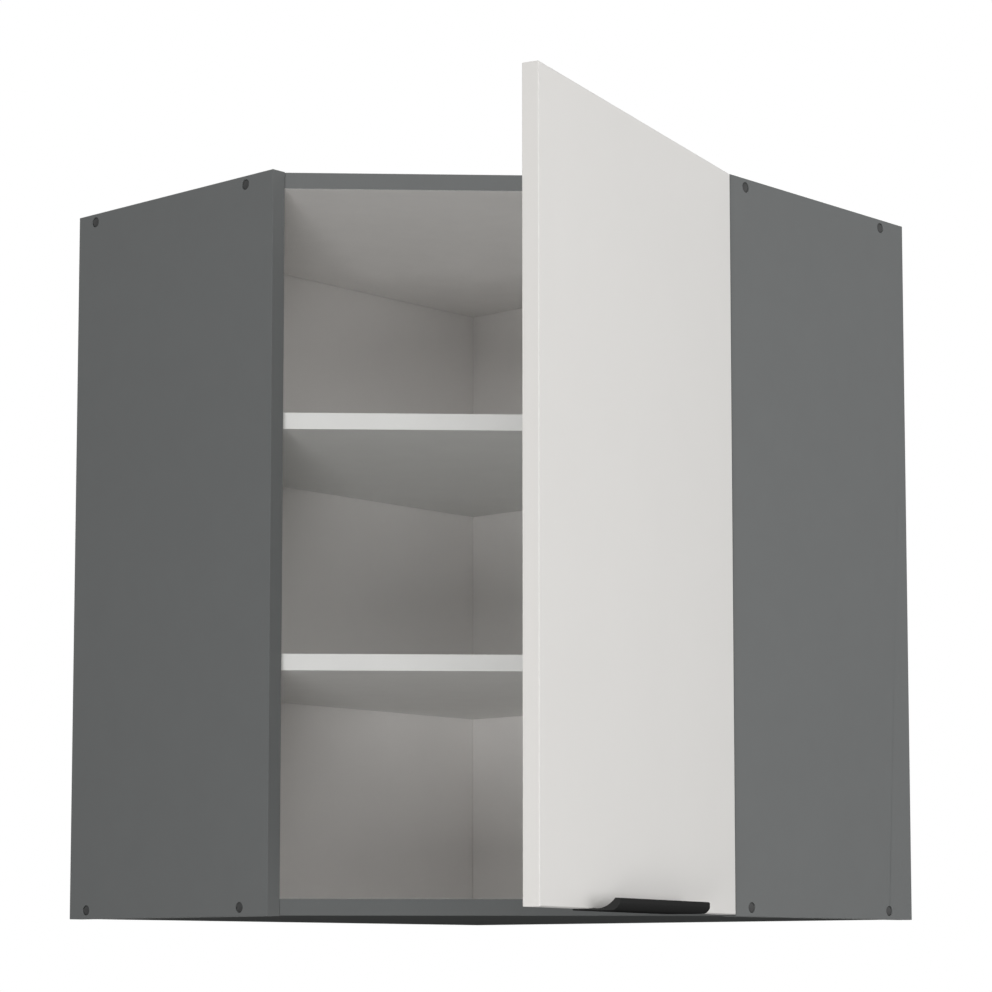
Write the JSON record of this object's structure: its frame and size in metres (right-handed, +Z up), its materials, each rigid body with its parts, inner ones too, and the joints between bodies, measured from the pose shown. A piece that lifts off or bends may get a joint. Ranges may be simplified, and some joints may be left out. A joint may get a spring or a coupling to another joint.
{
  "type": "corner wall cabinet",
  "caption": "Diagonal corner wall cabinet with adjustable shelves behind a hinged door, which an edge pull under its lower edge opens.",
  "frame": {"origin": "the corner of the room, where the planes of its two walls meet, at the height of the cabinet's lower edge", "axes": "+X to the right along the diagonal front, +Y into the corner of the room, +Z up; the front looks along -Y"},
  "size_m": [0.8486, 0.9977, 0.716],
  "materials": {
    "graphite_board": "particle board faced with matt mid-grey melamine",
    "pale_sheet": "hardboard with a pale warm lacquer",
    "shelf_board": "particle board faced with pale melamine",
    "plain_wood": "planed softwood",
    "white_door": "fibre board with a satin off-white lacquer",
    "black_metal": "satin black powder coat",
    "nickel": "nickel-plated steel",
    "zinc": "zinc-plated steel",
    "dark_plastic": "dark grey moulded plastic",
    "white_plastic": "white moulded plastic"
  },
  "bodies": {
    "carcass": {"left_side_panel": "graphite_board", "right_side_panel": "graphite_board", "bottom_panel": "graphite_board", "top_panel": "graphite_board", "back_sheet_left": "pale_sheet", "back_sheet_right": "pale_sheet", "corner_post": "plain_wood", "lower_shelf": "shelf_board", "upper_shelf": "shelf_board", "lower_shelf_pin_left_rear": "nickel", "lower_shelf_pin_left_front": "nickel", "lower_shelf_pin_right_rear": "nickel", "lower_shelf_pin_right_front": "nickel", "lower_shelf_pin_corner": "nickel", "upper_shelf_pin_left_rear": "nickel", "upper_shelf_pin_left_front": "nickel", "upper_shelf_pin_right_rear": "nickel", "upper_shelf_pin_right_front": "nickel", "upper_shelf_pin_corner": "nickel", "screw_left_rear_bottom": "zinc", "screw_left_front_bottom": "zinc", "screw_left_rear_top": "zinc", "screw_left_front_top": "zinc", "screw_right_rear_bottom": "zinc", "screw_right_front_bottom": "zinc", "screw_right_rear_top": "zinc", "screw_right_front_top": "zinc", "cap_left_rear_bottom": "dark_plastic", "cap_left_front_bottom": "dark_plastic", "cap_left_rear_top": "dark_plastic", "cap_left_front_top": "dark_plastic", "cap_right_rear_bottom": "dark_plastic", "cap_right_front_bottom": "dark_plastic", "cap_right_rear_top": "dark_plastic", "cap_right_front_top": "dark_plastic", "hanger_left_housing": "white_plastic", "hanger_left_hook": "zinc", "hanger_right_housing": "white_plastic", "hanger_right_hook": "zinc", "magnetic_catch": "white_plastic", "lower_hinge_side_leaf": "nickel", "lower_hinge_pin": "zinc", "lower_hinge_side_screw_low": "nickel", "lower_hinge_side_screw_high": "nickel", "upper_hinge_side_leaf": "nickel", "upper_hinge_pin": "zinc", "upper_hinge_side_screw_low": "nickel", "upper_hinge_side_screw_high": "nickel"},
    "door": {"door_panel": "white_door", "handle": "black_metal", "handle_screw_left": "black_metal", "handle_screw_right": "black_metal", "strike_plate": "zinc", "lower_hinge_door_leaf": "nickel", "lower_hinge_door_screw_low": "nickel", "lower_hinge_door_screw_high": "nickel", "upper_hinge_door_leaf": "nickel", "upper_hinge_door_screw_low": "nickel", "upper_hinge_door_screw_high": "nickel"}
  },
  "joints": [
    {"name": "door_hinge", "type": "hinge", "parent": "carcass", "child": "door", "pos_m": [0.2131, -0.6249, 0.358], "axis": [0, 0, 1], "range_deg": [-60.6, 29.4]}
  ]
}
